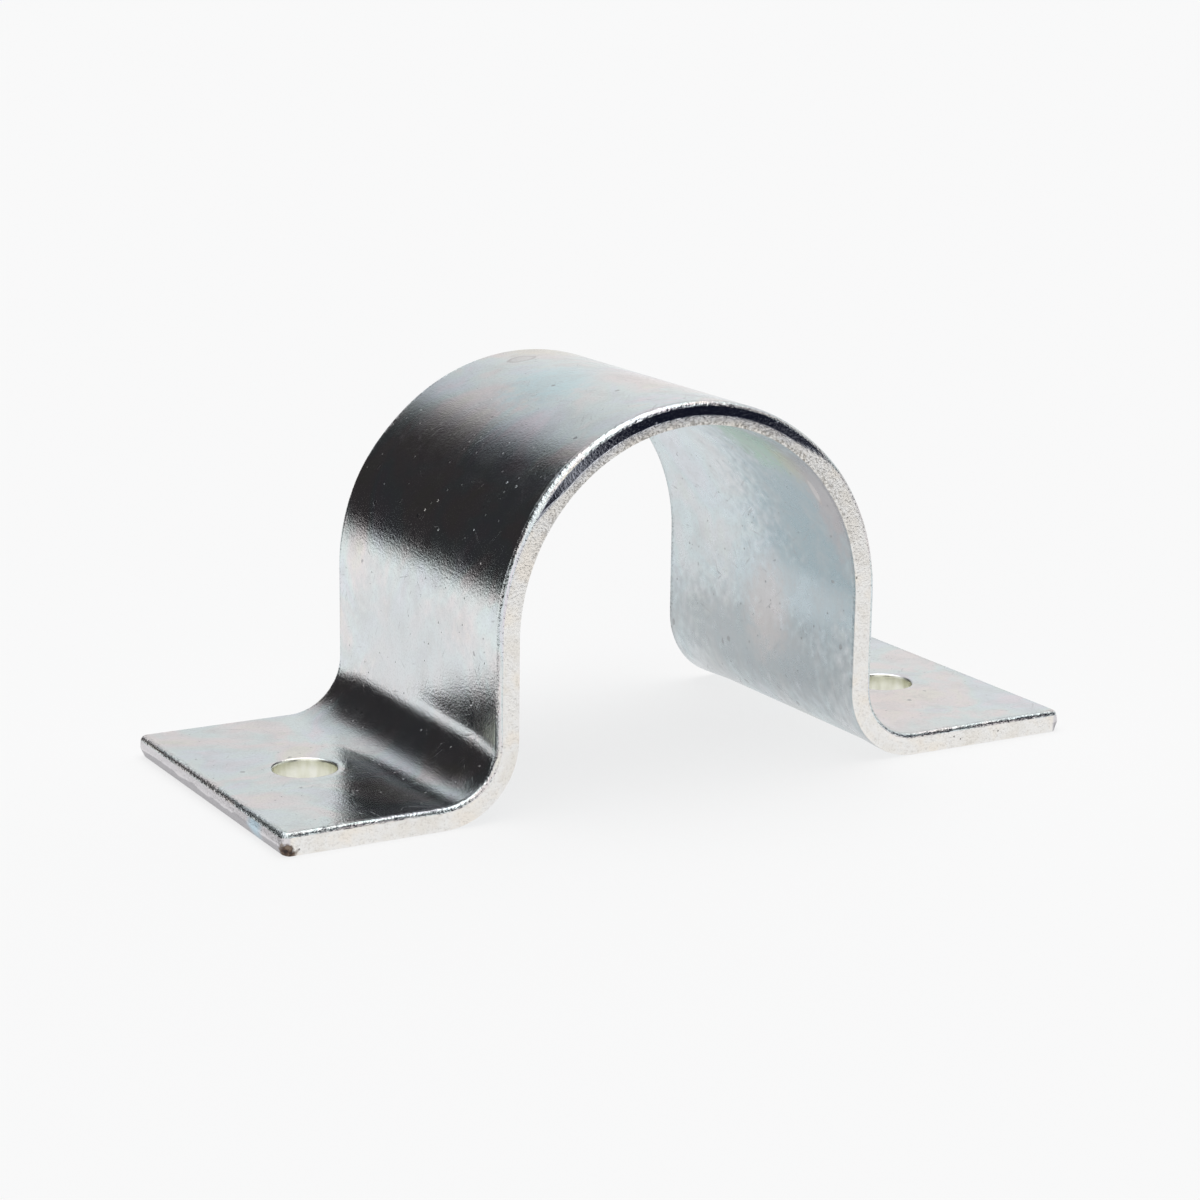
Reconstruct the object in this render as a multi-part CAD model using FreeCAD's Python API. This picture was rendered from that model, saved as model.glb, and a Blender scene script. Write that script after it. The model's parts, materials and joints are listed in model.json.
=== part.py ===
import FreeCAD, Part
import math
import os

# Conduit strap: one strip of plated steel, folded over a conduit and screwed down through a foot
# at each end.
# Frame: +X runs along the strip, +Y along the conduit and +Z away from the mounting surface. The
# origin lies on that surface, midway between the two screw holes. The section is drawn from the
# middle of the arch, and then set in that frame. Lengths are in millimetres and angles in degrees.

# Driving dimensions
conduit_diameter = 42.2      # outside diameter of the conduit, and inside diameter of the arch
inner_height = 40.5          # mounting surface to the underside of the crown, less than the conduit
strip_width = 40.0           # along the conduit
strip_thickness = 2.5
overall_length = 99.4        # from the end of one foot to the end of the other
arch_offset = 1.25           # the press folded the arch this far off the strip's middle, to -X
bend_radius = 6.3            # upper face of the bend between a leg and its foot
hole_spacing = 76.2          # centre to centre of the screw holes
hole_diameter = 7.0
corner_radius = 1.0          # corners of each foot, seen from above
edge_roll = 0.5              # rounding that the cutting die drags over the upper edges
hole_roll = 0.35             # the same round the mouth of each screw hole
break_height = 1.2           # rough lower part of each cut end, which leans inwards
break_set_back = 0.55        # how far it leans

# Sizes that follow
arch_radius = conduit_diameter / 2
arch_height = inner_height - arch_radius
outer_radius = arch_radius + strip_thickness
under_radius = bend_radius + strip_thickness
bend_centre_x = arch_radius + under_radius
bend_centre_z = under_radius
half_length = overall_length / 2
half_width = strip_width / 2
right_foot_end = half_length + arch_offset      # both measured from the middle of the arch
left_foot_end = half_length - arch_offset

os.makedirs("parts", exist_ok=True)


def section_point(x, z):
    """A point of the strip's section, in the plane y = 0."""
    return FreeCAD.Vector(x, 0, z)


def line(start, end):
    return Part.LineSegment(start, end).toShape()


def arc(centre_x, centre_z, radius, start_angle, end_angle):
    """An arc of the section, its angles counted from +X towards +Z."""
    points = []
    for angle in (start_angle, (start_angle + end_angle) / 2, end_angle):
        turn = math.radians(angle)
        points.append(section_point(centre_x + radius * math.cos(turn),
                                    centre_z + radius * math.sin(turn)))
    return Part.Arc(*points).toShape()


def left_handed(edges):
    return [edge.mirror(FreeCAD.Vector(0, 0, 0), FreeCAD.Vector(1, 0, 0)) for edge in edges]


def upper_line(foot_end):
    """The upper face's line from the arch down the right leg and along the foot to its end."""
    return [
        line(section_point(outer_radius, arch_height), section_point(outer_radius, bend_centre_z)),
        arc(bend_centre_x, bend_centre_z, bend_radius, 180, 270),
        line(section_point(bend_centre_x, strip_thickness), section_point(foot_end, strip_thickness)),
    ]


def under_line(foot_end):
    """The rest of that side: down the foot's cut end, back under it and up inside the leg."""
    top_of_break = section_point(foot_end, break_height)
    foot_of_break = section_point(foot_end - break_set_back, 0)
    return [
        line(section_point(foot_end, strip_thickness), top_of_break),
        line(top_of_break, foot_of_break),
        line(foot_of_break, section_point(bend_centre_x, 0)),
        arc(bend_centre_x, bend_centre_z, under_radius, 180, 270),
        line(section_point(arch_radius, bend_centre_z), section_point(arch_radius, arch_height)),
    ]


def whole_upper_line():
    """The upper face's line from the end of one foot to the end of the other."""
    outer_arch = arc(0, arch_height, outer_radius, 0, 180)
    return upper_line(right_foot_end) + left_handed(upper_line(left_foot_end)) + [outer_arch]


def folded_strip():
    """The strip's section carried across the width, before its corners are rounded."""
    inner_arch = arc(0, arch_height, arch_radius, 0, 180)
    under_lines = under_line(right_foot_end) + left_handed(under_line(left_foot_end)) + [inner_arch]
    outline = Part.Wire(Part.__sortEdges__(whole_upper_line() + under_lines))
    section = Part.Face(outline)
    section.translate(FreeCAD.Vector(-arch_offset, -half_width, 0))
    return section.extrude(FreeCAD.Vector(0, strip_width, 0))


def corner_waste(side_x, side_y):
    """What the die takes off one corner of a foot: a square block less its rounded quarter."""
    height = 2 * strip_thickness
    floor = -strip_thickness / 2
    centre = FreeCAD.Vector(side_x * (half_length - corner_radius),
                            side_y * (half_width - corner_radius), floor)
    block = Part.makeBox(2 * corner_radius, 2 * corner_radius, height)
    block.translate(centre)
    if side_x < 0:
        block.translate(FreeCAD.Vector(-2 * corner_radius, 0, 0))
    if side_y < 0:
        block.translate(FreeCAD.Vector(0, -2 * corner_radius, 0))
    return block.cut(Part.makeCylinder(corner_radius, height, centre))


def screw_hole(side_x):
    base = FreeCAD.Vector(side_x * hole_spacing / 2, 0, -strip_thickness / 2)
    return Part.makeCylinder(hole_diameter / 2, 2 * strip_thickness, base)


def mouth_edges(shape):
    """The upper rim of each screw hole."""
    return [
        edge for edge in shape.Edges
        if edge.Curve.TypeId == "Part::GeomCircle"
        and abs(edge.Curve.Radius - hole_diameter / 2) < 0.001
        and abs(edge.CenterOfMass.z - strip_thickness) < 0.001
    ]


def upper_edges(shape):
    """The edges that border the upper face, along both sides and round both feet."""
    chosen = []
    for edge in shape.Edges:
        middle = edge.valueAt((edge.FirstParameter + edge.LastParameter) / 2)
        at_side = abs(middle.y) > half_width - corner_radius / 2
        at_end = abs(middle.x) > half_length - corner_radius / 2
        in_section = Part.Vertex(middle.x + arch_offset, 0, middle.z)
        gap = min(in_section.distToShape(part)[0] for part in whole_upper_line())
        if gap < 0.001 and (at_side or at_end):
            chosen.append(edge)
    return chosen


def strap():
    body = folded_strip()
    for side_x in (-1, 1):
        for side_y in (-1, 1):
            body = body.cut(corner_waste(side_x, side_y))
        body = body.cut(screw_hole(side_x))
    body = body.makeFillet(edge_roll, upper_edges(body))
    return body.makeFillet(hole_roll, mouth_edges(body))


strap().exportStep("parts/strap.step")
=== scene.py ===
import bpy
import bmesh
import json
import math
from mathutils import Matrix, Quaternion, Vector


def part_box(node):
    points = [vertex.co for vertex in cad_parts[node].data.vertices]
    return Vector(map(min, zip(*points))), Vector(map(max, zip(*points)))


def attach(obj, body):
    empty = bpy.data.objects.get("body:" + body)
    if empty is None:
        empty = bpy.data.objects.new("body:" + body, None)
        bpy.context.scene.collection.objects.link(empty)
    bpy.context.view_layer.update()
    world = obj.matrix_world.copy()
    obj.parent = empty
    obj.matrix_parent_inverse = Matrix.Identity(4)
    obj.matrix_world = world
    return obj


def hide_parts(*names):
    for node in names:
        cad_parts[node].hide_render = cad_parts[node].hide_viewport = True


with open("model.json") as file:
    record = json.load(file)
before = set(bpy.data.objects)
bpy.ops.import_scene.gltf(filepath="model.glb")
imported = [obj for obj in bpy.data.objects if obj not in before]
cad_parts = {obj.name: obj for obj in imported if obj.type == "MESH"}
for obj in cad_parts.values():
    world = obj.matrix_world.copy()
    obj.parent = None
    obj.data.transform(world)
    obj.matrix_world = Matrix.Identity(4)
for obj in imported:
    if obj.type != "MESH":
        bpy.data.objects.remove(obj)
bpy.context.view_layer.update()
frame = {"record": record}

# ---- The folded strip ----
# One length of cold-rolled steel strip, blanked and punched flat, then pressed over a round former:
# foot, bend, leg, round arch, leg, bend, foot. Its section is drawn along that line, and the marks
# of the die and of the press are put on it afterwards.
strip_low, strip_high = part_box("strap")
mounts = {mount["name"]: mount for mount in frame["record"]["mounts"]}
arch_x = mounts["conduit_seat"]["pos_m"][0]
arch_height = mounts["conduit_seat"]["pos_m"][2]
arch_radius = mounts["conduit_seat"]["dims"]["r_mm"] / 1000
hole_radius = mounts["screw_holes"]["dims"]["hole_r_mm"] / 1000
hole_reach = mounts["screw_holes"]["dims"]["spacing_x_mm"] / 2000
half_length = strip_high.x
bulge_size = 0.0001
half_width = strip_high.y - bulge_size
strip_width = 2 * half_width
outer_radius = strip_high.z - arch_height
thickness = outer_radius - arch_radius
bend_radius = 0.0063
bend_out = outer_radius + bend_radius
bend_z = bend_radius + thickness
columns = 32
patch_columns = 5
patch_half = patch_columns * strip_width / columns
toe_steps, patch_steps, bend_steps, leg_steps, arch_steps = 4, 10, 24, 10, 90
break_depth = 0.0014
row_depths = (0.0006, 0.0008, 0.0010, 0.0012, break_depth, 0.0015, 0.0022)

bpy.ops.object.select_all(action="DESELECT")
strip_start = Vector((-half_length, 0, thickness / 2))
bpy.ops.mesh.primitive_grid_add(
    x_subdivisions=1, y_subdivisions=columns, size=1,
    location=strip_start, rotation=(0, math.pi / 2, 0))
strip = bpy.context.object
strip.name = "plated_strip"
bpy.ops.object.mode_set(mode="EDIT")
bpy.ops.mesh.select_all(action="SELECT")
bpy.ops.transform.resize(value=(1, strip_width, thickness), center_override=strip_start)
for depth in row_depths:
    bpy.ops.mesh.select_all(action="SELECT")
    bpy.ops.mesh.bisect(plane_co=(0, 0, thickness - depth), plane_no=(0, 0, 1))
bpy.ops.mesh.select_all(action="SELECT")


def draw_on(across, up, steps):
    """Draws the selected end of the strip on in a straight line, in equal steps."""
    for _ in range(steps):
        bpy.ops.mesh.extrude_region_move(
            TRANSFORM_OT_translate={"value": (across / steps, 0, up / steps)})


def fold(centre_x, centre_z, degrees, steps):
    """Folds the selected end of the strip on round a former whose axis lies along Y."""
    turn = 1 if degrees > 0 else -1
    bpy.ops.mesh.spin(steps=steps, angle=math.radians(abs(degrees)),
                      center=(centre_x, 0, centre_z), axis=(0, turn, 0))


foot_toe = half_length - hole_reach - patch_half
left_heel = hole_reach - patch_half + arch_x - bend_out
right_heel = hole_reach - patch_half - arch_x - bend_out
draw_on(foot_toe, 0, toe_steps)
draw_on(2 * patch_half, 0, patch_steps)
draw_on(left_heel, 0, 1)
fold(arch_x - bend_out, bend_z, 90, bend_steps)
draw_on(0, arch_height - bend_z, leg_steps)
fold(arch_x, arch_height, -180, arch_steps)
draw_on(0, bend_z - arch_height, leg_steps)
fold(arch_x + bend_out, bend_z, 90, bend_steps)
draw_on(right_heel, 0, 3)
draw_on(2 * patch_half, 0, patch_steps)
draw_on(foot_toe, 0, toe_steps)
bpy.ops.mesh.select_all(action="SELECT")
bpy.ops.mesh.remove_doubles(threshold=0.00001)
bpy.ops.mesh.normals_make_consistent(inside=False)
bpy.ops.object.mode_set(mode="OBJECT")
bpy.ops.object.transform_apply(location=True, rotation=True, scale=True)


def strip_place(x, z):
    """Where a point of the section lies in the strip: how far along from the crown, how deep,
    and how far round the bend it is, in radians."""
    reach = abs(x - arch_x)
    leg_length = arch_height - bend_z
    quarter_arch = outer_radius * math.pi / 2
    bend_turn = 0
    if z >= arch_height:
        along = outer_radius * math.atan2(reach, z - arch_height)
        depth = outer_radius - math.hypot(reach, z - arch_height)
    elif reach < bend_out and z >= bend_z:
        along = quarter_arch + arch_height - z
        depth = outer_radius - reach
    elif reach < bend_out:
        bend_turn = math.atan2(bend_z - z, bend_out - reach)
        along = quarter_arch + leg_length + bend_radius * bend_turn
        depth = math.hypot(bend_out - reach, bend_z - z) - bend_radius
    else:
        bend_turn = math.pi / 2
        along = quarter_arch + leg_length + bend_radius * bend_turn + reach - bend_out
        depth = thickness - z
    return math.copysign(along, x - arch_x), depth, bend_turn


# ---- The die's marks on the strip ----
# The blanking die shears the sides, the ends and the two screw holes: it drags the upper edges
# down into a roll, and under a burnished upper part the ends tear back a little.
PLATE, CUT, PUNCHED = 0, 1, 2
hair = 0.00002
corner_radius = 0.0010
edge_roll = 0.0005
burr_round = 0.00014
break_height = 0.0012
break_set_back = 0.00055
top_set_back = 0.0003
end_reach = 0.0016


def pick(kind, test):
    """Selects only the vertices, edges or faces that pass the test."""
    bpy.ops.mesh.select_mode(type={"verts": "VERT", "edges": "EDGE", "faces": "FACE"}[kind])
    bpy.ops.mesh.select_all(action="DESELECT")
    mesh = bmesh.from_edit_mesh(strip.data)
    for item in getattr(mesh, kind):
        if test(item):
            item.select_set(True)
    bmesh.update_edit_mesh(strip.data)


def is_cut_face(face):
    """The die cuts the two long sides and the two ends."""
    middle = face.calc_center_median()
    return abs(middle.y) > half_width - hair or abs(middle.x) > half_length - hair


def is_corner(edge):
    """The upright edge at a corner of a foot."""
    return all(abs(vertex.co.x) > half_length - hair and abs(vertex.co.y) > half_width - hair
               for vertex in edge.verts)


def in_bore(face, centre_x):
    """The wall of a screw hole, below the roll of its mouth."""
    middle = face.calc_center_median()
    return math.hypot(middle.x - centre_x, middle.y) < hole_radius + hair * 5


def borders(edge, lowest, highest):
    """An edge between a plated face and a cut one, within a range of depths in the strip."""
    if {face.material_index for face in edge.link_faces} != {PLATE, CUT}:
        return False
    middle = (edge.verts[0].co + edge.verts[1].co) / 2
    depth = strip_place(middle.x, middle.z)[1]
    return lowest < depth < highest


for material_name in ("zinc_plate", "sheared_edge", "punched_wall"):
    strip.data.materials.append(bpy.data.materials.new(material_name))

bpy.ops.object.mode_set(mode="EDIT")
pick("faces", is_cut_face)
strip.active_material_index = CUT
bpy.ops.object.material_slot_assign()
pick("edges", is_corner)
bpy.ops.mesh.bevel(offset=corner_radius, segments=6, profile=0.5, affect="EDGES",
                   clamp_overlap=False, material=CUT)

# A square of each foot round a screw hole is lifted out, and a ring of wall is set in its place,
# its mouth dragged down by the punch.
mouth_roll = 0.00035
mouth_steps = 4
ring_points = 40
ring_radius = hole_radius + 3 * mouth_roll
burnish_depth = thickness * 0.45
tear_back = 0.00006
for side in (-1, 1):
    centre_x = side * hole_reach

    def in_patch(face):
        middle = face.calc_center_median()
        near = abs(middle.x - centre_x) < patch_half and abs(middle.y) < patch_half
        return near and abs(face.normal.z) > 0.9 and middle.z < thickness + hair

    pick("faces", in_patch)
    bpy.ops.mesh.delete(type="FACE")
    bpy.ops.mesh.select_mode(type="EDGE")
    bpy.ops.mesh.select_all(action="DESELECT")
    bpy.ops.mesh.primitive_circle_add(
        vertices=ring_points, radius=ring_radius, fill_type="NOTHING",
        location=(centre_x, 0, thickness))
    rings = [(hole_radius + mouth_roll, thickness)]
    for step in range(1, mouth_steps + 1):
        turn = math.radians(90 * step / mouth_steps)
        rings.append((hole_radius + mouth_roll * (1 - math.sin(turn)),
                      thickness - mouth_roll * (1 - math.cos(turn))))
    rings += [(hole_radius, burnish_depth), (hole_radius + tear_back, 0.0), (ring_radius, 0.0)]
    last_radius, last_height = ring_radius, thickness
    for radius, height in rings:
        bpy.ops.mesh.extrude_edges_move(
            TRANSFORM_OT_translate={"value": (0, 0, height - last_height)})
        grow = radius / last_radius
        bpy.ops.transform.resize(value=(grow, grow, 1), center_override=(centre_x, 0, height))
        last_radius, last_height = radius, height

    def open_edge(edge, height):
        middle = (edge.verts[0].co + edge.verts[1].co) / 2
        return len(edge.link_faces) == 1 and abs(middle.z - height) < hair and (
            abs(middle.x - centre_x) < patch_half + hair)

    for height in (thickness, 0.0):
        pick("edges", lambda edge: open_edge(edge, height))
        bpy.ops.mesh.bridge_edge_loops()
    pick("faces", lambda face: in_bore(face, centre_x))
    strip.active_material_index = PUNCHED
    bpy.ops.object.material_slot_assign()

bpy.ops.mesh.select_all(action="SELECT")
bpy.ops.mesh.normals_make_consistent(inside=False)
pick("edges", lambda edge: borders(edge, -hair, hair))
bpy.ops.mesh.bevel(offset=edge_roll, segments=4, profile=0.5, affect="EDGES",
                   clamp_overlap=False, material=PLATE)
pick("edges", lambda edge: borders(edge, thickness - hair, thickness + hair))
bpy.ops.mesh.bevel(offset=burr_round, segments=2, profile=0.5, affect="EDGES",
                   clamp_overlap=False, material=CUT)
bpy.ops.object.mode_set(mode="OBJECT")

# Every point keeps its place on the flat strip, which the plating's patterns follow round the
# folds: how far along from the crown, how far across, and how deep.
lay = strip.data.attributes.new("lay", "FLOAT_VECTOR", "POINT")
for vertex in strip.data.vertices:
    along, depth, bend_turn = strip_place(vertex.co.x, vertex.co.z)
    lay.data[vertex.index].vector = (along, vertex.co.y, depth)


def ease(low, high, value):
    """Goes from 0 at low to 1 at high, without a kink."""
    share = min(max((value - low) / (high - low), 0), 1)
    return share * share * (3 - 2 * share)


def press_in(name, direction, strength, weight_of):
    """Moves the strip's surface one way, each vertex by its own share."""
    group = strip.vertex_groups.new(name=name)
    for vertex in strip.data.vertices:
        weight = weight_of(vertex.co)
        if weight > 0.001:
            group.add([vertex.index], weight, "REPLACE")
    bpy.ops.object.modifier_add(type="DISPLACE")
    push = strip.modifiers[-1]
    push.direction = direction
    push.mid_level = 0
    push.strength = strength
    push.vertex_group = name
    bpy.ops.object.modifier_apply(modifier=push.name)
    strip.vertex_groups.remove(strip.vertex_groups[name])


def lean_share(place, side):
    """A cut end is widest where its torn lower part begins: from there the tear leans in towards
    the burr, and the upper part leans in towards the roll, more so at the front."""
    from_end = half_length - place.x * side
    torn = max(1 - place.z / break_height, 0)
    upper = max(place.z - break_height, 0) / (thickness - break_height)
    slant = 0.75 - 0.5 * place.y / half_width      # from a quarter at the back to 1.25 at the front
    lean = torn + upper * slant * top_set_back / break_set_back
    return min(lean, 1) * (1 - ease(0, end_reach, from_end))


for side in (-1, 1):
    press_in("lean", "X", -side * break_set_back, lambda place: lean_share(place, side))

# ---- The press's marks on the strip ----
# Folding stretches the outside of the arch and crowds the inside of the bends, so the arch's
# outer edges neck in, the bends' inner edges bulge out, and each bend rises along its middle.
neck_slope = math.tan(math.radians(19))
neck_depth = 0.00150
neck_spread = 0.0035
neck_lip = 0.0006
left_run_out, right_run_out = math.radians(55), math.radians(44)
run_out_spread = math.radians(13)
bulge_depth = 0.0011
bulge_lip, bulge_spread = 0.0008, 0.0025
smooth_angle = math.radians(32)
bend_rise = 0.0003
curl_reach = 0.0060


def crease_depth(along):
    """How deep the crease of the neck lies: it runs further down the left of the arch."""
    run_out = left_run_out if along < 0 else right_run_out
    arch_turn = abs(along) / outer_radius
    fading = ease(run_out - run_out_spread, run_out + run_out_spread, arch_turn)
    return neck_depth * (1 - fading)


def neck_share(place, side):
    """The arch's outer edge leans in from the crease to the outer face."""
    along, depth, bend_turn = strip_place(place.x, place.z)
    from_edge = half_width - place.y * side
    leaning = max(crease_depth(along) - depth, 0) / neck_depth
    return leaning * (1 - ease(neck_lip, neck_spread, from_edge))


def bulge_share(place, side):
    """The inside of a bend swells sideways, most at the middle of the bend."""
    along, depth, bend_turn = strip_place(place.x, place.z)
    from_edge = half_width - place.y * side
    swell = math.sin(min(2 * bend_turn, math.pi)) if 0 < bend_turn < math.pi / 2 else 0
    at_edge = 1 - ease(bulge_lip, bulge_spread, from_edge)
    return swell * (1 - ease(0, bulge_depth, depth)) * at_edge


def rise_share(place, along_x, side):
    """A bend rises along its middle and keeps its edges down."""
    along, depth, bend_turn = strip_place(place.x, place.z)
    if not 0 < bend_turn < math.pi / 2 or along * side < 0:
        return 0
    lift = math.sin(2 * bend_turn) * ease(0, curl_reach, half_width - abs(place.y))
    return lift * (math.cos(bend_turn) if along_x else math.sin(bend_turn))


for side in (-1, 1):
    press_in("neck", "Y", -side * neck_slope * neck_depth, lambda place: neck_share(place, side))
    press_in("bulge", "Y", side * bulge_size, lambda place: bulge_share(place, side))
    press_in("rise", "X", side * bend_rise, lambda place: rise_share(place, True, side))
    press_in("rise", "Z", bend_rise, lambda place: rise_share(place, False, side))

# The press burnishes the necked facet, and the cut's material finds it by this attribute, to make
# it smoother and to paint it dark as a painted reflection.
pressed = strip.data.attributes.new("pressed", "FLOAT", "POINT")
for vertex in strip.data.vertices:
    along, across, depth = strip.data.attributes["lay"].data[vertex.index].vector
    crease = crease_depth(along)
    pressed.data[vertex.index].value = ease(-0.0001, 0.0001, crease - depth) if crease > 0 else 0

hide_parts("strap")
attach(strip, "root")
bpy.ops.object.shade_smooth_by_angle(angle=smooth_angle)

# ---- The plating's patterns ----
# Zinc plated on mill-rolled steel is never even: it has a fine grain, hairline scratches, dark pits
# and dried spots. Each is a node group with its own sizes, which the plated surfaces below set.


def fill(tree, node, fills):
    """Fills a node's inputs with values or with other outputs."""
    for key, value in fills.items():
        if isinstance(value, bpy.types.NodeSocket):
            tree.links.new(value, node.inputs[key])
        else:
            node.inputs[key].default_value = value


def put(tree, kind, fills=None, **settings):
    """Adds a node, sets its options and fills its inputs."""
    node = tree.nodes.new("ShaderNode" + kind)
    for name, value in settings.items():
        setattr(node, name, value)
    fill(tree, node, fills or {})
    return node


def new_group(name, inputs, output):
    """Starts a node group with the named float inputs after a Lay vector, and one output."""
    group = bpy.data.node_groups.new(name, "ShaderNodeTree")
    group.interface.new_socket(name="Lay", in_out="INPUT", socket_type="NodeSocketVector")
    for title, value in inputs.items():
        kind = "NodeSocketVector" if isinstance(value, tuple) else "NodeSocketFloat"
        socket = group.interface.new_socket(name=title, in_out="INPUT", socket_type=kind)
        socket.default_value = value
    group.interface.new_socket(name=output, in_out="OUTPUT", socket_type="NodeSocketFloat")
    return group, group.nodes.new("NodeGroupInput"), group.nodes.new("NodeGroupOutput")


def step_up(tree, value, low, high):
    """A smooth step from 0 at low to 1 at high."""
    return put(tree, "MapRange", {"Value": value, "From Min": low, "From Max": high},
               interpolation_type="SMOOTHSTEP").outputs[0]


def sum_of(tree, first, second, operation="ADD"):
    """Adds two values, or joins them by another operation."""
    return put(tree, "Math", {0: first, 1: second}, operation=operation).outputs[0]


def grain_group():
    """Fine granules of the plating, from 0 to 1, as a height."""
    group, inside, outside = new_group("plating_grain", {"Size": 0.0003}, "Height")
    scale = put(group, "Math", {0: 1.0, 1: inside.outputs["Size"]}, operation="DIVIDE").outputs[0]
    noise = put(group, "TexNoise", {"Vector": inside.outputs["Lay"], "Scale": scale,
                                    "Detail": 3.0, "Roughness": 0.6})
    group.links.new(noise.outputs["Fac"], outside.inputs["Height"])
    return group


def scratch_group():
    """Hairline scratches that lie mostly one way, given as a turn from the strip's length."""
    group, inside, outside = new_group(
        "hairline_scratches", {"Turn": 0.0, "Least": 0.72, "Seed": 0.0}, "Mask")
    turned = put(group, "VectorRotate", {"Vector": inside.outputs["Lay"],
                                         "Angle": inside.outputs["Turn"]}, rotation_type="Z_AXIS")
    drawn = put(group, "VectorMath", {0: turned.outputs[0], 1: (330.0, 2900.0, 300.0)},
                operation="MULTIPLY")
    moved = put(group, "VectorMath", {0: drawn.outputs[0], 1: inside.outputs["Seed"]},
                operation="ADD")
    noise = put(group, "TexNoise", {"Vector": moved.outputs[0], "Scale": 1.0, "Detail": 1.0,
                                    "Roughness": 0.4, "Distortion": 0.35})
    top = sum_of(group, inside.outputs["Least"], 0.05)
    mask = step_up(group, noise.outputs[0], inside.outputs["Least"], top)
    patches = put(group, "TexNoise", {"Vector": inside.outputs["Lay"], "Scale": 240.0,
                                      "Detail": 1.0, "W": inside.outputs["Seed"]},
                  noise_dimensions="4D")
    handled = step_up(group, patches.outputs[0], 0.48, 0.62)
    group.links.new(sum_of(group, mask, handled, "MULTIPLY"), outside.inputs["Mask"])
    return group


def pit_group():
    """Scattered specks of ragged shape, in a share of the cells that the surface is cut into."""
    group, inside, outside = new_group(
        "dark_pits", {"Spacing": 0.0022, "Radius": 0.1, "Share": 0.4}, "Mask")
    scale = put(group, "Math", {0: 1.0, 1: inside.outputs["Spacing"]},
                operation="DIVIDE").outputs[0]
    ragged = put(group, "TexNoise", {"Vector": inside.outputs["Lay"], "Scale": 2600.0,
                                     "Detail": 2.0})
    cells = put(group, "TexVoronoi", {"Vector": inside.outputs["Lay"], "Scale": scale})
    away = put(group, "Math", {0: ragged.outputs[0], 1: 0.16, 2: cells.outputs["Distance"]},
               operation="MULTIPLY_ADD").outputs[0]
    limit = sum_of(group, inside.outputs["Radius"], 0.08)
    outer = sum_of(group, limit, 0.04)
    dot = put(group, "MapRange", {"Value": away, "From Min": limit, "From Max": outer,
                                  "To Min": 1.0, "To Max": 0.0},
              interpolation_type="SMOOTHSTEP").outputs[0]
    draw = put(group, "SeparateColor", {0: cells.outputs["Color"]})
    chosen = put(group, "Math", {0: draw.outputs[0], 1: inside.outputs["Share"]},
                 operation="LESS_THAN").outputs[0]
    group.links.new(sum_of(group, dot, chosen, "MULTIPLY"), outside.inputs["Mask"])
    return group


def spot_group():
    """A soft-edged oval at one place on the strip: 1 at its middle, 0 outside its reach."""
    group, inside, outside = new_group(
        "spot", {"Place": (0.0, 0.0, 0.0), "Reach": (0.001, 0.001, 0.001), "Ragged": 0.3,
                 "Shift": 0.0}, "Mask")
    away = put(group, "VectorMath", {0: inside.outputs["Lay"], 1: inside.outputs["Place"]},
               operation="SUBTRACT")
    scaled = put(group, "VectorMath", {0: away.outputs[0], 1: inside.outputs["Reach"]},
                 operation="DIVIDE")
    length = put(group, "VectorMath", {0: scaled.outputs[0]}, operation="LENGTH").outputs["Value"]
    uneven = put(group, "Math", {0: inside.outputs["Shift"], 1: inside.outputs["Ragged"],
                                 2: length}, operation="MULTIPLY_ADD").outputs[0]
    mask = put(group, "Math", {0: 1.0, 1: uneven}, operation="SUBTRACT", use_clamp=True)
    group.links.new(mask.outputs[0], outside.inputs["Mask"])
    return group


grain, scratches, pits, spot = grain_group(), scratch_group(), pit_group(), spot_group()


def pattern(tree, group, lay_out, **fills):
    """Puts a pattern in a material and gives its output."""
    node = tree.nodes.new("ShaderNodeGroup")
    node.node_tree = group
    tree.links.new(lay_out, node.inputs["Lay"])
    fill(tree, node, fills)
    return node.outputs[0]


def tinted(tree, base, tint, mask):
    """Lays a colour over another where the mask is."""
    mix = put(tree, "Mix", {0: mask}, data_type="RGBA")
    for index, value in ((6, base), (7, tint)):
        if isinstance(value, bpy.types.NodeSocket):
            tree.links.new(value, mix.inputs[index])
        else:
            mix.inputs[index].default_value = (*value, 1)
    return mix.outputs[2]


def ramp(tree, value, stops):
    """A colour ramp with the given stops."""
    node = put(tree, "ValToRGB", {0: value})
    while len(node.color_ramp.elements) < len(stops):
        node.color_ramp.elements.new(0.5)
    for element, (position, colour) in zip(node.color_ramp.elements, stops):
        element.position = position
        element.color = (*colour, 1)
    return node.outputs[0]


def begin(material):
    """Gives a material's tree, its shader and the places on the flat strip."""
    material.use_nodes = True
    tree = material.node_tree
    shader = tree.nodes["Principled BSDF"]
    lay_out = put(tree, "Attribute", attribute_name="lay").outputs["Vector"]
    return tree, shader, lay_out


# ---- The plated faces ----
# Bright zinc with a thin clear-blue passivation, dried in pale clouds of blue, green, pink and
# straw, hazed and scratched by handling, with a drop's oval mark on the crown and a run inside.
# Some of its patches are painted shade.
tree, shader, lay_out = begin(strip.data.materials[PLATE])
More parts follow.
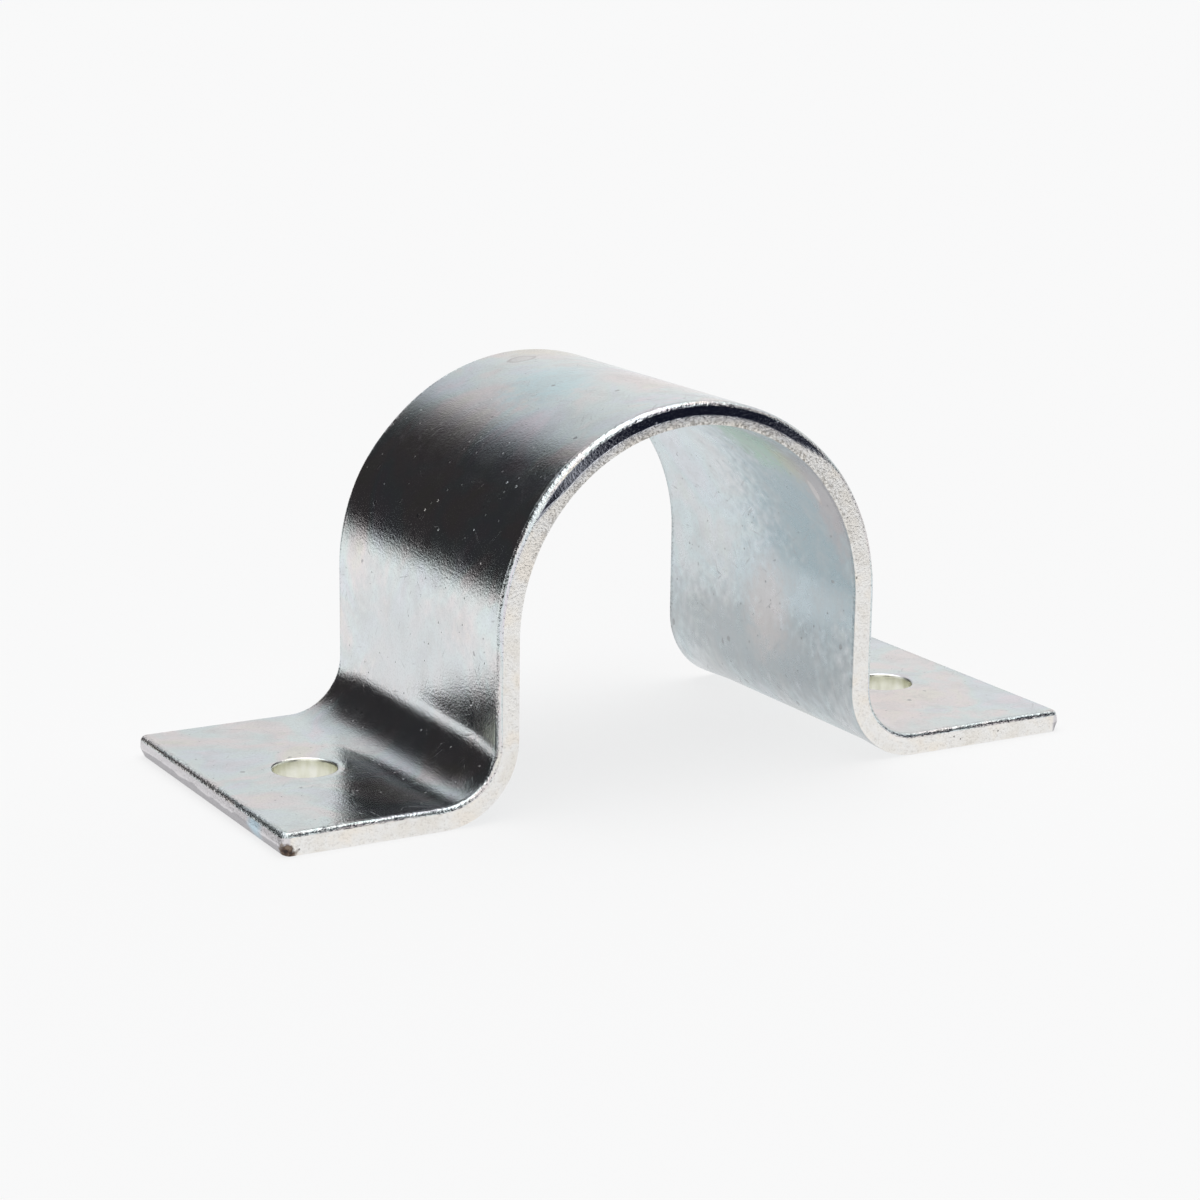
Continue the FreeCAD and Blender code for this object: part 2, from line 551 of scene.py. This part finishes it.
# The inner face gets clouds of its own, as its depth moves it far off in the pattern.
apart = put(tree, "VectorMath", {0: lay_out, 1: (1.0, 1.0, 20.0)},
            operation="MULTIPLY").outputs[0]
clouds = put(tree, "TexNoise", {"Vector": apart, "Scale": 95.0, "Detail": 3.0, "Roughness": 0.55,
                                "Distortion": 0.6}).outputs[0]
haze = put(tree, "TexNoise", {"Vector": apart, "Scale": 260.0, "Detail": 5.0, "Roughness": 0.65,
                              "Distortion": 0.4}).outputs[0]
mottle = put(tree, "TexNoise", {"Vector": apart, "Scale": 3600.0, "Detail": 3.0,
                                "Roughness": 0.6}).outputs[0]
film = ramp(tree, clouds, (
    (0.32, (0.815, 0.770, 0.820)), (0.41, (0.745, 0.805, 0.850)), (0.48, (0.745, 0.830, 0.820)),
    (0.53, (0.800, 0.805, 0.800)), (0.58, (0.845, 0.785, 0.785)), (0.66, (0.835, 0.815, 0.740))))
depth_out = put(tree, "SeparateXYZ", {0: lay_out}).outputs["Z"]
inner = step_up(tree, depth_out, 0.0012, 0.0020)
# The inner face is tinted darker and bluer: partly a duller film, and partly painted shade for the
# shadowed table that it reflects.
film = tinted(tree, film, (0.600, 0.680, 0.715), sum_of(tree, inner, 0.65, "MULTIPLY"))

ragged = put(tree, "TexNoise", {"Vector": lay_out, "Scale": 900.0, "Detail": 3.0})
shift = sum_of(tree, ragged.outputs[0], -0.5)

# Tints that the bath left, and patches of painted shade: tint, how far along and across, reach each
# way, whether inside.
crown_depth, inside_depth = 0.0, thickness
one_face = 0.0014       # a reach in depth that stays short of the other face
for tint, along, across, depth, along_reach, across_reach, strength in (
        # The first three darken the inside of the right of the arch and of its leg: painted shade
        # for the shadowed table that the inner wall reflects.
        ((0.340, 0.430, 0.470), 0.0285, -0.0130, inside_depth, 0.0250, 0.0200, 0.90),
        ((0.400, 0.440, 0.460), 0.0470, 0.0000, inside_depth, 0.0080, 0.0350, 0.80),
        ((0.560, 0.640, 0.680), 0.0390, -0.0060, inside_depth, 0.0040, 0.0200, 0.75),
        ((0.620, 0.810, 0.850), -0.0055, 0.0015, crown_depth, 0.0085, 0.0090, 0.9),
        ((0.860, 0.790, 0.660), 0.0020, 0.0175, crown_depth, 0.0070, 0.0050, 0.8),
        ((0.870, 0.750, 0.740), 0.0025, -0.0030, crown_depth, 0.0070, 0.0080, 0.7),
        # This one darkens the whole outer face of the left leg: painted shade.
        ((0.660, 0.690, 0.710), -0.0440, 0.0000, crown_depth, 0.0150, 0.0300, 0.8),
        ((0.850, 0.740, 0.720), 0.0600, -0.0020, crown_depth, 0.0130, 0.0180, 0.7),
        ((0.420, 0.600, 0.480), 0.0150, -0.0100, inside_depth, 0.0085, 0.0080, 0.9),
        ((0.560, 0.550, 0.400), 0.0185, -0.0150, inside_depth, 0.0050, 0.0035, 0.7),
        ((0.480, 0.440, 0.450), 0.0230, -0.0180, inside_depth, 0.0130, 0.0045, 0.8),
        ((0.700, 0.620, 0.600), 0.0420, -0.0020, inside_depth, 0.0080, 0.0060, 0.5),
):
    patch = pattern(tree, spot, lay_out, Place=(along, across, depth), Ragged=0.9, Shift=shift,
                    Reach=(along_reach, across_reach, one_face))
    patch = step_up(tree, patch, 0.0, 0.75)
    film = tinted(tree, film, tint, sum_of(tree, patch, strength, "MULTIPLY"))

# A dried drop leaves a darker rim: one on the crown, and the end of a run inside the right leg.
for along, across, depth, along_reach, across_reach in (
        (-0.0029, 0.0141, crown_depth, 0.0022, 0.0016),
        (0.0231, -0.0163, inside_depth, 0.0026, 0.0008),
):
    drop = pattern(tree, spot, lay_out, Place=(along, across, depth), Ragged=0.25, Shift=shift,
                   Reach=(along_reach, across_reach, one_face))
    body = step_up(tree, drop, 0.12, 0.25)
    edge = sum_of(tree, body, step_up(tree, drop, 0.25, 0.45), "SUBTRACT")
    film = tinted(tree, film, (0.690, 0.650, 0.640), sum_of(tree, body, 0.6, "MULTIPLY"))
    film = tinted(tree, film, (0.400, 0.370, 0.360), sum_of(tree, edge, 0.6, "MULTIPLY"))

dull = step_up(tree, haze, 0.42, 0.70)
film = tinted(tree, film, (0.60, 0.60, 0.60), sum_of(tree, dull, 0.35, "MULTIPLY"))
peppered = step_up(tree, mottle, 0.50, 0.64)
film = tinted(tree, film, (0.46, 0.46, 0.47), sum_of(tree, peppered, 0.22, "MULTIPLY"))

lines = pattern(tree, scratches, lay_out, Turn=0.5, Least=0.675, Seed=3.0)
for turn_by, least, seed in ((-0.9, 0.69, 11.0), (1.35, 0.70, 27.0)):
    more = pattern(tree, scratches, lay_out, Turn=turn_by, Least=least, Seed=seed)
    lines = sum_of(tree, lines, more, "MAXIMUM")
specks = pattern(tree, pits, lay_out, Spacing=0.0036, Radius=0.06, Share=0.55)
dust = pattern(tree, pits, lay_out, Spacing=0.0010, Radius=0.11, Share=0.20)
glints = pattern(tree, pits, lay_out, Spacing=0.0015, Radius=0.06, Share=0.22)
film = tinted(tree, film, (0.33, 0.34, 0.35), sum_of(tree, specks, 0.75, "MULTIPLY"))
film = tinted(tree, film, (0.42, 0.43, 0.43), sum_of(tree, dust, 0.55, "MULTIPLY"))
film = tinted(tree, film, (0.46, 0.46, 0.47), sum_of(tree, lines, 0.4, "MULTIPLY"))
tree.links.new(film, shader.inputs["Base Color"])
shader.inputs["Metallic"].default_value = 1.0

# The roll along every cut border is crushed and sparkles.
flat = put(tree, "VectorMath", {0: lay_out}, operation="ABSOLUTE").outputs[0]
flat = put(tree, "SeparateXYZ", {0: flat})
place_out = put(tree, "TexCoord").outputs["Object"]
spans = put(tree, "VectorMath", {0: place_out}, operation="ABSOLUTE").outputs[0]
spans = put(tree, "SeparateXYZ", {0: spans})
rim = sum_of(tree, step_up(tree, flat.outputs["Y"], half_width - 0.0009, half_width - 0.0003),
             step_up(tree, spans.outputs["X"], half_length - 0.0012, half_length - 0.0006),
             "MAXIMUM")

rough = put(tree, "MapRange", {"Value": haze, "From Min": 0.3, "From Max": 0.75,
                               "To Min": 0.10, "To Max": 0.22}).outputs[0]
rough = put(tree, "Math", {0: inner, 1: 0.14, 2: rough}, operation="MULTIPLY_ADD").outputs[0]
rough = put(tree, "Math", {0: lines, 1: 0.12, 2: rough}, operation="MULTIPLY_ADD").outputs[0]
rough = put(tree, "Math", {0: rim, 1: 0.06, 2: rough}, operation="MULTIPLY_ADD").outputs[0]
rough = put(tree, "Math", {0: dust, 1: 0.30, 2: rough}, operation="MULTIPLY_ADD").outputs[0]
tree.links.new(rough, shader.inputs["Roughness"])

fine = pattern(tree, grain, lay_out, Size=0.00030)
coarse = pattern(tree, grain, lay_out, Size=0.0011)
crushed = pattern(tree, grain, lay_out, Size=0.00060)
height = put(tree, "Math", {0: fine, 1: 2.9, 2: coarse}, operation="MULTIPLY_ADD").outputs[0]
height = put(tree, "Math", {0: lines, 1: -0.5, 2: height}, operation="MULTIPLY_ADD").outputs[0]
height = put(tree, "Math", {0: specks, 1: -1.2, 2: height}, operation="MULTIPLY_ADD").outputs[0]
height = put(tree, "Math", {0: glints, 1: 5.0, 2: height}, operation="MULTIPLY_ADD").outputs[0]
crush = sum_of(tree, rim, crushed, "MULTIPLY")
height = put(tree, "Math", {0: crush, 1: 22.0, 2: height}, operation="MULTIPLY_ADD").outputs[0]
bump = put(tree, "Bump", {"Height": height, "Strength": 1.0, "Distance": 0.000008})
tree.links.new(bump.outputs[0], shader.inputs["Normal"])

# ---- The sheared edges ----
# The sides and ends as the die left them, plated over: pale and matt, granular and chipped, most so
# round the arch, burnished smooth where the press necked it and painted dark there as a painted
# reflection, and rusting at one corner of a foot.
tree, shader, lay_out = begin(strip.data.materials[CUT])
blotch = put(tree, "TexNoise", {"Vector": lay_out, "Scale": 300.0, "Detail": 4.0}).outputs[0]
skin = ramp(tree, blotch, ((0.35, (0.90, 0.87, 0.82)), (0.5, (0.94, 0.93, 0.91)),
                           (0.65, (0.95, 0.90, 0.83))))
burnish_and_painted_dark = put(tree, "Attribute", attribute_name="pressed").outputs["Fac"]
place_out = put(tree, "TexCoord").outputs["Object"]
granules = put(tree, "TexNoise", {"Vector": place_out, "Scale": 3400.0, "Detail": 3.0,
                                  "Roughness": 0.65}).outputs[0]
flat = put(tree, "VectorMath", {0: lay_out}, operation="ABSOLUTE").outputs[0]
flat = put(tree, "SeparateXYZ", {0: flat})
arched = put(tree, "MapRange", {"Value": flat.outputs["X"], "From Min": 0.016, "From Max": 0.036,
                                "To Min": 1.0, "To Max": 0.0}).outputs[0]
hollows = step_up(tree, granules, 0.54, 0.64)
coarse_share = put(tree, "Math", {0: arched, 1: 0.50, 2: 0.25},
                   operation="MULTIPLY_ADD").outputs[0]
skin = tinted(tree, skin, (0.50, 0.46, 0.41), sum_of(tree, hollows, coarse_share, "MULTIPLY"))
low_border = step_up(tree, flat.outputs["Z"], 0.0016, 0.0023)
low_border = sum_of(tree, low_border, arched, "MULTIPLY")
dug = sum_of(tree, low_border, step_up(tree, granules, 0.42, 0.56), "MULTIPLY")
skin = tinted(tree, skin, (0.34, 0.32, 0.29), sum_of(tree, dug, 0.7, "MULTIPLY"))
chips = pattern(tree, pits, place_out, Spacing=0.0009, Radius=0.11, Share=0.12)
skin = tinted(tree, skin, (0.22, 0.21, 0.20), sum_of(tree, chips, 0.8, "MULTIPLY"))
# The necked facet is painted dark blue-grey: a painted reflection of the dark card in front.
skin = tinted(tree, skin, (0.36, 0.39, 0.48), sum_of(tree, burnish_and_painted_dark, 0.8, "MULTIPLY"))

# The torn lower part of the ends is grey, partly as dull torn steel and partly as painted shade
# where it leans down, and the burnished part above it is lilac and blue.
place = put(tree, "SeparateXYZ", {0: place_out})
reach_out = put(tree, "Math", {0: place.outputs["X"]}, operation="ABSOLUTE").outputs[0]
at_end = step_up(tree, reach_out, half_length - 0.0013, half_length - 0.0009)
uneven = put(tree, "Math", {0: blotch, 1: 0.0012, 2: place.outputs["Z"]},
             operation="MULTIPLY_ADD").outputs[0]
torn = put(tree, "MapRange", {"Value": uneven, "From Min": break_height + 0.0005,
                              "From Max": break_height + 0.0007, "To Min": 1.0,
                              "To Max": 0.0}).outputs[0]
skin = tinted(tree, skin, (0.72, 0.70, 0.73), sum_of(tree, at_end, 0.85, "MULTIPLY"))
torn = sum_of(tree, at_end, torn, "MULTIPLY")
# The torn part's grey is partly painted shade of its downward lean.
skin = tinted(tree, skin, (0.36, 0.35, 0.37), sum_of(tree, torn, 0.8, "MULTIPLY"))
blued = put(tree, "VectorMath", {0: place_out, 1: (-half_length, -0.0130, 0.0016)},
            operation="DISTANCE").outputs["Value"]
blued = put(tree, "MapRange", {"Value": blued, "From Min": 0.0008, "From Max": 0.0022,
                               "To Min": 0.7, "To Max": 0.0}).outputs[0]
skin = tinted(tree, skin, (0.50, 0.72, 0.84), blued)

# Rust has started at the front corner of the left foot.
corner = put(tree, "VectorMath", {0: place_out, 1: (-half_length + 0.0007, -half_width, 0.0004)},
             operation="DISTANCE")
ragged = put(tree, "TexNoise", {"Vector": place_out, "Scale": 1500.0, "Detail": 4.0}).outputs[0]
spread = put(tree, "Math", {0: ragged, 1: -0.0020, 2: corner.outputs["Value"]},
             operation="MULTIPLY_ADD").outputs[0]
rust = put(tree, "MapRange", {"Value": spread, "From Min": -0.0003, "From Max": 0.0001,
                              "To Min": 1.0, "To Max": 0.0}).outputs[0]
rust_tone = ramp(tree, ragged, ((0.40, (0.055, 0.040, 0.034)), (0.52, (0.16, 0.105, 0.075)),
                                (0.62, (0.33, 0.25, 0.19))))
skin = tinted(tree, skin, rust_tone, rust)
tree.links.new(skin, shader.inputs["Base Color"])
metal = put(tree, "Math", {0: 1.0, 1: rust}, operation="SUBTRACT").outputs[0]
tree.links.new(metal, shader.inputs["Metallic"])
rough = put(tree, "MapRange", {"Value": burnish_and_painted_dark, "From Min": 0.0, "From Max": 1.0,
                               "To Min": 0.34, "To Max": 0.12}).outputs[0]
rough = put(tree, "Math", {0: rust, 1: 0.5, 2: rough}, operation="MULTIPLY_ADD").outputs[0]
tree.links.new(rough, shader.inputs["Roughness"])
deep = put(tree, "Math", {0: arched, 1: 1.3, 2: 0.6}, operation="MULTIPLY_ADD").outputs[0]
deep = put(tree, "Math", {0: burnish_and_painted_dark, 1: -1.5, 2: deep}, operation="MULTIPLY_ADD").outputs[0]
height = put(tree, "Math", {0: chips, 1: -1.0, 2: granules}, operation="MULTIPLY_ADD").outputs[0]
height = sum_of(tree, height, deep, "MULTIPLY")
bump = put(tree, "Bump", {"Height": height, "Strength": 1.0, "Distance": 0.00011})
tree.links.new(bump.outputs[0], shader.inputs["Normal"])

# ---- The walls of the screw holes ----
# Punched steel, plated more thinly than the faces: straw-coloured, and streaked by the punch.
tree, shader, lay_out = begin(strip.data.materials[PUNCHED])
streaks = put(tree, "VectorMath", {0: lay_out, 1: (900.0, 900.0, 300.0)},
              operation="MULTIPLY").outputs[0]
streak = put(tree, "TexNoise", {"Vector": streaks, "Scale": 1.0, "Detail": 2.0}).outputs[0]
wall = ramp(tree, streak, ((0.35, (0.72, 0.72, 0.60)), (0.55, (0.86, 0.86, 0.75)),
                           (0.7, (0.92, 0.92, 0.84))))
tree.links.new(wall, shader.inputs["Base Color"])
shader.inputs["Metallic"].default_value = 1.0
shader.inputs["Roughness"].default_value = 0.34
bump = put(tree, "Bump", {"Height": streak, "Strength": 1.0, "Distance": 0.00001})
tree.links.new(bump.outputs[0], shader.inputs["Normal"])

# ---- The studio ----
# A white table that ends a little way off to the left, a white softbox behind on the right, a grey
# wall round it, and dark cards on the left and in front, which only the metal shows.
table_size, table_left = 8.0, -0.3
bpy.ops.mesh.primitive_plane_add(size=table_size, location=(table_left + table_size / 2, 0, 0))
table = bpy.context.object
table.name = "table"


def looked_at(tree):
    """1 for what the camera sees, also as shown by metal and through glass, and 0 for light."""
    rays = put(tree, "LightPath").outputs
    share = rays["Is Camera Ray"]
    for name in ("Is Glossy Ray", "Is Transmission Ray"):
        share = sum_of(tree, share, rays[name], "MAXIMUM")
    return share


table_material = bpy.data.materials.new("table_white")
table_material.use_nodes = True
table.data.materials.append(table_material)
tree = table_material.node_tree
matt = tree.nodes["Principled BSDF"]
matt.inputs["Base Color"].default_value = (0.9, 0.9, 0.9, 1)
matt.inputs["Roughness"].default_value = 0.9
matt.inputs["Specular IOR Level"].default_value = 0.0
glow = put(tree, "Emission", {"Color": (1, 1, 1, 1)})
whitened = sum_of(tree, looked_at(tree), 0.75, "MULTIPLY")
blend = put(tree, "MixShader", {"Fac": whitened, 1: matt.outputs[0], 2: glow.outputs[0]})
tree.links.new(blend.outputs[0], tree.nodes["Material Output"].inputs["Surface"])

world = bpy.data.worlds.new("studio")
bpy.context.scene.world = world
world.use_nodes = True
tree = world.node_tree
tree.nodes.clear()


def card_group():
    """A soft-edged card of light or dark, seen in one direction, sized in degrees."""
    group = bpy.data.node_groups.new("studio_card", "ShaderNodeTree")
    face = group.interface
    for name in ("Turn", "Rise", "Turn centre", "Rise centre", "Half width", "Half height",
                 "Soft"):
        face.new_socket(name=name, in_out="INPUT", socket_type="NodeSocketFloat")
    face.new_socket(name="Mask", in_out="OUTPUT", socket_type="NodeSocketFloat")
    inside = group.nodes.new("NodeGroupInput").outputs
    outside = group.nodes.new("NodeGroupOutput")
    masks = []
    for angle, centre, half in (("Turn", "Turn centre", "Half width"),
                                ("Rise", "Rise centre", "Half height")):
        away = sum_of(group, inside[angle], inside[centre], "SUBTRACT")
        away = put(group, "Math", {0: away}, operation="ABSOLUTE").outputs[0]
        masks.append(put(group, "MapRange", {
            "Value": away, "From Min": sum_of(group, inside[half], inside["Soft"], "SUBTRACT"),
            "From Max": sum_of(group, inside[half], inside["Soft"]), "To Min": 1.0, "To Max": 0.0,
        }, interpolation_type="SMOOTHSTEP").outputs[0])
    group.links.new(sum_of(group, *masks, "MULTIPLY"), outside.inputs["Mask"])
    return group


studio_card = card_group()
toward = put(tree, "TexCoord").outputs["Generated"]
axes = put(tree, "SeparateXYZ", {0: toward}).outputs
turn = sum_of(tree, axes["X"], axes["Y"], "ARCTAN2")
turn = put(tree, "Math", {0: turn}, operation="DEGREES").outputs[0]
rise = put(tree, "Math", {0: axes["Z"]}, operation="ARCSINE").outputs[0]
rise = put(tree, "Math", {0: rise}, operation="DEGREES").outputs[0]

tone = put(tree, "Mix", {0: looked_at(tree), 6: (0.55, 0.56, 0.58, 1), 7: (1, 1, 1, 1)},
           data_type="RGBA").outputs[2]
# name, turn, rise, half width, half height, softness, colour
cards = (
    ("grey_wall", 20, 20, 125, 45, 8, (0.55, 0.56, 0.58, 1)),
    ("right_softbox", 55, 20, 40, 40, 18, (0.82, 0.82, 0.82, 1)),
    ("ceiling", 0, 90, 400, 34, 8, (1.9, 1.9, 1.9, 1)),
    ("below", 0, -90, 400, 89, 1, (0.8, 0.8, 0.8, 1)),
    ("left_dark", -52, 14, 49, 26, 8, (0.03, 0.029, 0.031, 1)),
    ("front_dark", 160, 30, 60, 25, 6, (0.010, 0.012, 0.024, 1)),
)
for name, turn_to, rise_to, half_turn, half_rise, soft, colour in cards:
    card = put(tree, "Group", {}, node_tree=studio_card, label=name)
    fill(tree, card, {"Turn": turn, "Rise": rise, "Turn centre": turn_to,
                      "Rise centre": rise_to, "Half width": half_turn,
                      "Half height": half_rise, "Soft": soft})
    tone = put(tree, "Mix", {0: card.outputs["Mask"], 6: tone, 7: colour},
               data_type="RGBA").outputs[2]
studio = put(tree, "Background", {"Color": tone})
backdrop = put(tree, "Background", {"Color": (0.97, 0.97, 0.97, 1)})
seen = put(tree, "LightPath").outputs["Is Camera Ray"]
past_cards = put(tree, "MixShader", {"Fac": seen, 1: studio.outputs[0], 2: backdrop.outputs[0]})
end = put(tree, "OutputWorld")
tree.links.new(past_cards.outputs[0], end.inputs["Surface"])

# ---- The camera ----
# A long lens a third of a metre off, a little to the left and just above the strap.
camera_data = bpy.data.cameras.new("camera")
camera = bpy.data.objects.new("camera", camera_data)
bpy.context.scene.collection.objects.link(camera)
turn_angle = math.radians(-29.86)
rise_angle = math.radians(13.98)
roll_angle = math.radians(0.76)
back = Vector((math.sin(turn_angle) * math.cos(rise_angle),
               -math.cos(turn_angle) * math.cos(rise_angle), math.sin(rise_angle)))
aim = Vector((-0.001457, 0, 0.017105))
camera_distance = 0.331375
camera.location = aim + back * camera_distance
camera.rotation_mode = "QUATERNION"
upright = (-back).to_track_quat("-Z", "Y")
camera.rotation_quaternion = upright @ Quaternion((0, 0, 1), roll_angle)
camera_data.lens = 87.72
camera_data.sensor_width = 36
camera_data.clip_start = 0.01
camera_data.clip_end = 20
bpy.context.scene.camera = camera
bpy.context.scene.view_settings.view_transform = "Standard"
